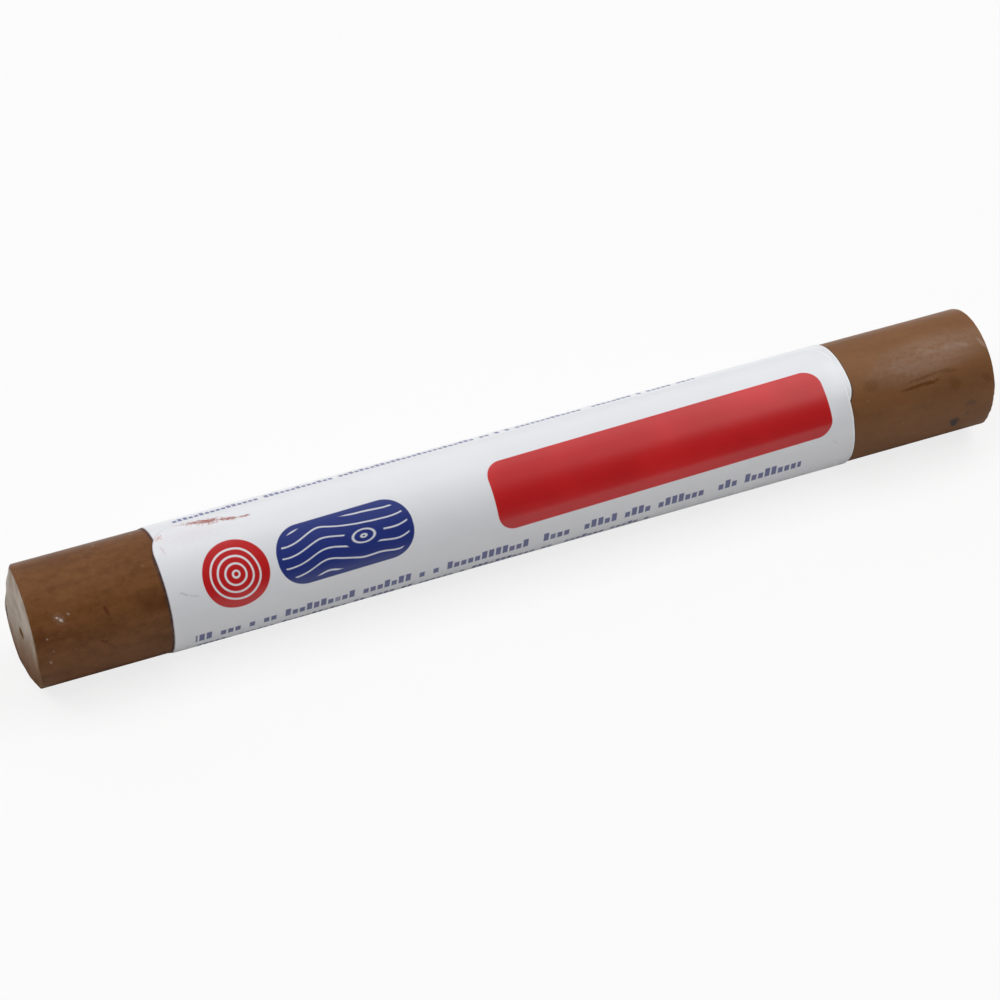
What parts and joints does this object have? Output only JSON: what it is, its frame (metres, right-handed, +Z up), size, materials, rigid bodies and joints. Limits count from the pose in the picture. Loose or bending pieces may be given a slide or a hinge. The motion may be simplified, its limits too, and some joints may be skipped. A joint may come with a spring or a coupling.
{
  "type": "furniture repair wax stick",
  "caption": "Round stick of hard brown filler wax with a glossy printed paper label wrapped and lapped round its middle, both ends bare for rubbing into scratches.",
  "frame": {"origin": "centre of the box's bottom, on the table under the middle of the stick", "axes": "+X along the stick towards its worn end, +Z up, -Y the side that carries the print"},
  "size_m": [0.0922, 0.0113, 0.0114],
  "materials": {
    "wax": "hard brown wax, satin, streaked along the stick",
    "adhesive": "dark line of squeezed label adhesive",
    "paper": "coated paper, semi-gloss, printed in red and navy"
  },
  "bodies": {
    "root": {"wax_stick": "wax", "label_adhesive": "adhesive", "label_paper": "paper"}
  },
  "joints": []
}
